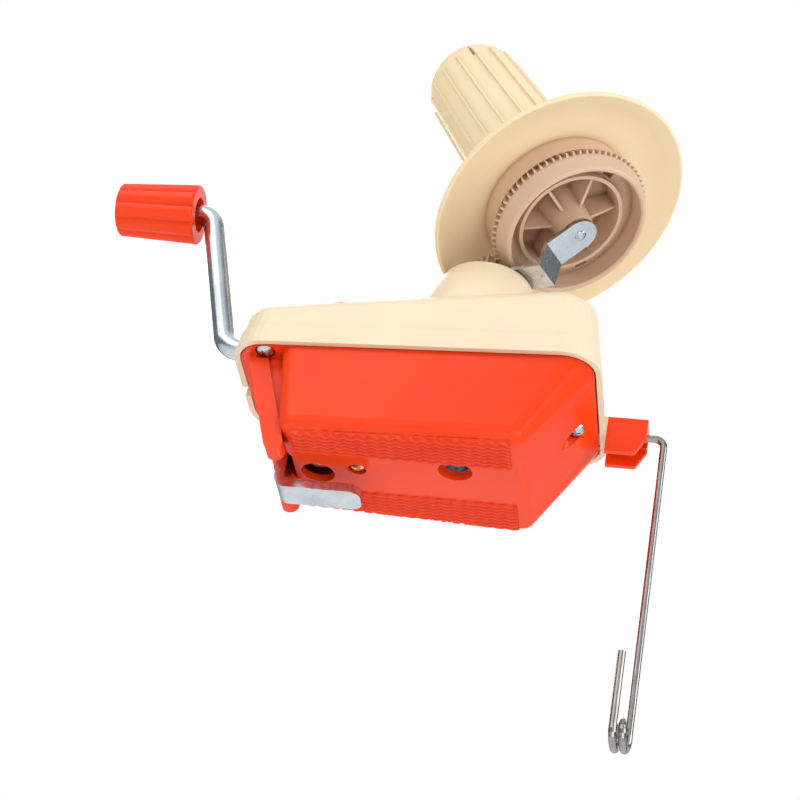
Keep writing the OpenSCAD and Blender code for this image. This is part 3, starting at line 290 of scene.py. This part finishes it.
def moulded_plastic(name, *, tint, shade, worn, painted_hollow_shade, gloss, dull, grain=1500.0, bump=0.00004,
                    drift=28.0, mirror=0.5):
    """A moulded plastic: pigment that drifts from tint to shade, mould grain of the height bump, edges
    rubbed towards worn, and hollows darkened by painted shade towards the colour given for them.
    Roughness runs from gloss to dull; grain and drift are noise scales, and mirror is the strength of
    its shine."""
    material = bpy.data.materials.new(name)
    material.use_nodes = True
    tree = material.node_tree
    surface = tree.nodes["Principled BSDF"]
    colour = grouped(tree, pigment_drift, Tint=(*tint, 1), Shade=(*shade, 1), Drift_Scale=drift)
    skin = grouped(tree, mould_grain, Grain_Scale=grain, Gloss=gloss, Dull=dull)
    edges = grouped(tree, edge_wear)
    # Painted shade: the colour is darkened towards the colour given for hollows wherever the near
    # surroundings hide a point.
    painted_shade = grouped(tree, painted_cavity_shade)
    with_painted_shade = blended(tree, painted_shade.outputs["Mask"], colour.outputs["Color"], (*painted_hollow_shade, 1))
    rubbed = blended(tree, edges.outputs["Mask"], with_painted_shade, (*worn, 1))
    tree.links.new(rubbed, surface.inputs["Base Color"])
    tree.links.new(skin.outputs["Roughness"], surface.inputs["Roughness"])
    relief = shader(tree, "Bump", Strength=0.35, Distance=bump)
    tree.links.new(skin.outputs["Height"], relief.inputs["Height"])
    tree.links.new(relief.outputs["Normal"], surface.inputs["Normal"])
    surface.inputs["IOR"].default_value = 1.5
    surface.inputs["Specular IOR Level"].default_value = mirror
    return material


def finish_node(node, material):
    """Gives a CAD piece its finish."""
    mesh = nodes[node].data
    mesh.materials.clear()
    mesh.materials.append(material)


# The colour for hollows is painted shade, darkening the casing's recesses.
cream_skin = moulded_plastic(
    "cream_casing_plastic", tint=(0.91, 0.75, 0.53), shade=(0.88, 0.71, 0.49),
    worn=(0.94, 0.81, 0.62), painted_hollow_shade=(0.62, 0.45, 0.26), gloss=0.30, dull=0.42)
finish_node("top_casing", cream_skin)

# Bottom cover: the red half of the body, a deep tub with the table pad, glossy
# because its mould was polished; its pad carries two bands of wavy grip ribs.
# The colour for hollows is painted shade, darkening the cover's recesses and the valleys between the
# grip ribs.
red_skin = moulded_plastic(
    "red_cover_plastic", tint=(0.95, 0.058, 0.005), shade=(0.92, 0.046, 0.004),
    worn=(0.96, 0.11, 0.030), painted_hollow_shade=(0.42, 0.008, 0.001), gloss=0.16, dull=0.26,
    grain=1100.0, bump=0.00003, drift=22.0, mirror=0.28)
finish_node("bottom_cover", red_skin)


def grid_object(name, points, material, body, closed_across=False, closed_along=False):
    """A surface from a grid of points, rows along and columns across, as one object:
    each face joins two neighbours of a row to the same two of the next."""
    rows, columns = points.shape[:2]
    index = np.arange(rows * columns).reshape(rows, columns)
    if closed_along:
        index = np.vstack([index, index[:1]])
    if closed_across:
        index = np.hstack([index, index[:, :1]])
    faces = np.stack([index[:-1, :-1], index[:-1, 1:], index[1:, 1:], index[1:, :-1]], -1)
    mesh = bpy.data.meshes.new(name)
    mesh.from_pydata(points.reshape(-1, 3).tolist(), [], faces.reshape(-1, 4).tolist())
    mesh.polygons.foreach_set("use_smooth", np.ones(len(mesh.polygons), bool))
    mesh.materials.append(material)
    piece = bpy.data.objects.new(name, mesh)
    bpy.context.scene.collection.objects.link(piece)
    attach(piece, body)
    return piece


mm = 0.001


def grip_band(side):
    """Wavy ribs along one side of the pad. Across the band the ribs are a raised
    cosine of the distance from its inner edge, and that distance is shifted by a sine
    along the pad. Past the flat face the band follows the pad's round edge, and its
    border dips into the pad."""
    crank_end, guide_end, inner, overhang = -37.6, 36.6, 11.8, 2.7
    pad_half, flat_at_crank, flat_widening, edge_radius = 37.0, 21.75, 4.65, 5.0
    wave_swing, wave_length, rib_spacing = 0.45, 4.4, 2.1
    rib_foot, rib_height, border_width, border_depth, backing_depth = 0.10, 0.85, 0.35, 0.35, 0.6
    along, across = np.meshgrid(np.linspace(crank_end, guide_end, 236), np.linspace(0, 1, 92),
                                indexing="ij")
    flat_edge = flat_at_crank + (along + pad_half) / (2 * pad_half) * flat_widening
    place = inner + across * (flat_edge + overhang - inner)
    past_edge = np.maximum(place - flat_edge, 0)
    pad_face = edge_radius - np.sqrt(edge_radius ** 2 - past_edge ** 2)
    wave = wave_swing * np.sin(2 * np.pi * along / wave_length)
    rib = 0.5 - 0.5 * np.cos(2 * np.pi * (place - inner + wave) / rib_spacing)
    from_ends = np.minimum(along - crank_end, guide_end - along)
    from_sides = np.minimum(place - inner, flat_edge + overhang - place)
    shown = np.clip(np.minimum(from_ends, from_sides) / border_width, 0, 1)
    height = shown * (rib_foot + rib_height * rib) - border_depth * (1 - shown)
    lean = past_edge / edge_radius
    points = np.stack([along, side * (place + height * lean),
                       pad_face - height * np.sqrt(1 - lean ** 2)], -1) * mm
    name = "pad_grip_front" if side < 0 else "pad_grip_back"
    band = grid_object(name, points if side > 0 else points[::-1], red_skin, "root")
    backing = band.modifiers.new("backing", "SOLIDIFY")
    backing.thickness = backing_depth * mm
    backing.offset = -1


for pad_side in (-1, 1):
    grip_band(pad_side)

# Guide holder, crank grip and clamp knob: small mouldings in the cover's red
# plastic. The holder sits on the end wall, the grip turns on the crank's end.
for piece in ("guide_holder", "crank_grip", "clamp_knob"):
    finish_node(piece, red_skin)

# Gears, hub and crank bush: matt pinkish beige plastic with the teeth moulded in.
# Pins that push the ring gear out of its mould leave three round marks in its hub.
# The colour for hollows is painted shade, darkening the gear teeth and the hub's channel.
beige_skin = moulded_plastic(
    "beige_gear_plastic", tint=(0.70, 0.49, 0.35), shade=(0.66, 0.45, 0.31),
    worn=(0.78, 0.60, 0.46), painted_hollow_shade=(0.36, 0.18, 0.09), gloss=0.36, dull=0.50, grain=1300.0)
for piece in ("ring_gear", "sun_gear", "drive_gear", "spindle_pinion", "crank_bush"):
    finish_node(piece, beige_skin)

spindle_x, spindle_y = 17.0, -7.3
cone_point = np.array([spindle_x, spindle_y, 141.519])
cone_lean, cone_way = np.radians(34.0), np.radians(158.0)
lean_sin, lean_cos = np.sin(cone_lean), np.cos(cone_lean)
way_sin, way_cos = np.sin(cone_way), np.cos(cone_way)
cone_x = np.array([lean_cos * way_cos, lean_cos * way_sin, -lean_sin])
cone_z = np.array([lean_sin * way_cos, lean_sin * way_sin, lean_cos])
cone_y = np.cross(cone_z, cone_x)


def ejector_mark(number, angle):
    """Low ring that an ejector pin left in the hub's channel: a thin torus that lies
    half sunk in the channel's floor, square to the cone's axis."""
    turn, roll = np.meshgrid(np.linspace(0, 2 * np.pi, 48, endpoint=False),
                             np.linspace(0, 2 * np.pi, 10, endpoint=False), indexing="ij")
    channel_radius, channel_floor, pin_radius, line_radius = 22.1, -49.28, 1.9, 0.16
    reach = pin_radius + line_radius * np.cos(roll)
    local = np.stack([channel_radius * np.cos(angle) + reach * np.cos(turn),
                      channel_radius * np.sin(angle) + reach * np.sin(turn),
                      channel_floor + line_radius * np.sin(roll)], -1)
    points = (cone_point + local @ np.stack([cone_x, cone_y, cone_z])) * mm
    grid_object(f"ejector_mark_{number}", points, beige_skin, "cone", True, True)


for number, angle in enumerate(np.radians((24.8, 144.8, 264.8))):
    ejector_mark(number, angle)

# Winding cone: the ribbed cone and its dished flange, one moulding of cream
# yellow plastic. It is fixed to the ring gear and turns with it on the slanted axle.
# The colour for hollows is painted shade, darkening the cone's grooves and the flange's recesses.
ivory_skin = moulded_plastic(
    "ivory_cone_plastic", tint=(0.92, 0.75, 0.48), shade=(0.89, 0.71, 0.44),
    worn=(0.94, 0.81, 0.58), painted_hollow_shade=(0.60, 0.42, 0.20), gloss=0.32, dull=0.45)
finish_node("winding_cone", ivory_skin)


# Steel pieces: the crank's drawn rod, the bent strips of arm and clamp bar, the
# turned screws, washers and clips, all zinc plated with a bluish cast.
def build_plating():
    """Plated steel: drawing lines stretched along one axis, a cloudy bluish film and
    small dull spots where the plating is thin."""
    group, given, out = node_group(
        "plating_film",
        [("Bright", "Color", (0.8, 0.83, 0.87, 1)), ("Dull", "Color", (0.6, 0.63, 0.67, 1)),
         ("Stretch", "Vector", (1.0, 1.0, 1.0))],
        [("Color", "Color"), ("Roughness", "Float"), ("Height", "Float")])
    where = group.nodes.new("ShaderNodeTexCoord").outputs["Object"]
    cloud = spread(group, noise(group, where, scale=90.0, detail=5, rough=0.6), 0.35, 0.7)
    colour = blended(group, cloud, given.outputs["Bright"], given.outputs["Dull"])
    group.links.new(colour, out.inputs["Color"])
    drawn = group.nodes.new("ShaderNodeVectorMath")
    drawn.operation = "MULTIPLY"
    group.links.new(where, drawn.inputs[0])
    group.links.new(given.outputs["Stretch"], drawn.inputs[1])
    lines = noise(group, drawn.outputs[0], scale=2400.0, detail=3, rough=0.6)
    group.links.new(lines, out.inputs["Height"])
    spots = spread(group, noise(group, where, scale=700.0, detail=3), 0.55, 0.75, to_high=0.16)
    line_roughness = maths(group, "MULTIPLY", lines, 0.22)
    spot_roughness = maths(group, "ADD", spots, 0.08)
    group.links.new(maths(group, "ADD", line_roughness, spot_roughness), out.inputs["Roughness"])
    return group


plating_film = build_plating()


def plated_metal(name, *, bright, dull, stretch):
    """A plated or bare metal, clouded from bright to dull, with drawing lines along the
    axis of least stretch and edges rubbed to a pale grey."""
    rubbed_grey, line_depth = (0.86, 0.88, 0.90, 1), 0.00002
    material = bpy.data.materials.new(name)
    material.use_nodes = True
    tree = material.node_tree
    surface = tree.nodes["Principled BSDF"]
    surface.inputs["Metallic"].default_value = 1.0
    film = grouped(tree, plating_film, Bright=(*bright, 1), Dull=(*dull, 1), Stretch=stretch)
    edges = grouped(tree, edge_wear, Width=0.0003)
    rubbed = blended(tree, edges.outputs["Mask"], film.outputs["Color"], rubbed_grey)
    tree.links.new(rubbed, surface.inputs["Base Color"])
    tree.links.new(film.outputs["Roughness"], surface.inputs["Roughness"])
    relief = shader(tree, "Bump", Strength=0.3, Distance=line_depth)
    tree.links.new(film.outputs["Height"], relief.inputs["Height"])
    tree.links.new(relief.outputs["Normal"], surface.inputs["Normal"])
    return material


zinc_skin = plated_metal("zinc_plate", bright=(0.70, 0.75, 0.80), dull=(0.50, 0.55, 0.61),
                         stretch=(0.25, 1.0, 0.25))
for piece in ("cover_screws", "centre_post", "crank_rod", "gear_pin", "crank_clip", "grip_washer",
              "spindle_sleeve", "spindle_arm", "arm_nut", "cone_axle", "axle_washer", "axle_clip",
              "guide_clip", "clamp_bar", "clamp_nut", "clamp_screw", "knob_washer", "screw_clip"):
    finish_node(piece, zinc_skin)


def arm_dart():
    """Stiffening dart pressed into the arm beside its lower bend: a lens with pointed
    ends, highest along its middle line, on the arm's underside."""
    dart_reach, dart_half, dart_width = 19.4, 3.2, 1.6
    arm_underside, dart_depth, flank = 76.46, 0.85, 0.8
    along, across = np.meshgrid(np.linspace(-1, 1, 40), np.linspace(-1, 1, 24), indexing="ij")
    swell = 1 - along ** 2
    out, side = dart_reach + dart_half * along, dart_width * swell * across
    height = arm_underside - dart_depth * swell * (1 - np.abs(across)) ** flank
    way = cone_way + np.pi
    points = np.stack([spindle_x + out * np.cos(way) - side * np.sin(way),
                       spindle_y + out * np.sin(way) + side * np.cos(way), height], -1) * mm
    grid_object("arm_dart", points[::-1], zinc_skin, "spindle")


arm_dart()


# Clamp screw: a zinc plated steel rod with a coarse rolled thread of 2.5 mm pitch.
# It hangs from the knob on the casing and draws the clamp bar up by its nut.
def threaded_rod(low, high, pitch):
    """Clamp screw: a rod whose radius rises and falls once per pitch along a right-hand
    helix; its first and last rows run in to the axis and close the ends."""
    screw_x, screw_y, core_radius, tooth_height, crest = -31.0, 1.3, 2.35, 0.64, 0.7
    chamfer, end_share = 0.8, 0.6
    rise, turn = np.meshgrid(np.linspace(low, high, 320),
                             np.linspace(0, 2 * np.pi, 36, endpoint=False), indexing="ij")
    tooth = 0.5 + 0.5 * np.cos(turn - 2 * np.pi * rise / pitch)
    run_in = np.clip(np.minimum(rise - low, high - rise) / chamfer + end_share, 0, 1)
    radius = (core_radius + tooth_height * tooth ** crest) * run_in
    radius[[0, -1]] = 0
    points = np.stack([screw_x + radius * np.cos(turn), screw_y + radius * np.sin(turn), rise], -1) * mm
    return grid_object("clamp_thread", points[:, ::-1], zinc_skin, "clamp_screw", True)


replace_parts(threaded_rod(3.2, 61.6, 2.5), "clamp_screw")

# Yarn guide: one bent stainless wire with a coiled eye, left as it was drawn. It
# swings in a bush in the guide holder, and a clip keeps it there.
wire_skin = plated_metal("drawn_stainless", bright=(0.42, 0.40, 0.38), dull=(0.30, 0.285, 0.27),
                         stretch=(1.0, 1.0, 0.05))
finish_node("yarn_guide", wire_skin)
finish_node("guide_bush", wire_skin)

# Brass coloured pieces: the screw between the pad's holes, the one at the holder's
# root, and the washer that the spindle turns on.
brass_skin = plated_metal("yellow_brass", bright=(0.83, 0.66, 0.36), dull=(0.68, 0.51, 0.27),
                          stretch=(1.0, 1.0, 1.0))
for piece in ("pad_screw", "thrust_washer", "holder_screw"):
    finish_node(piece, brass_skin)
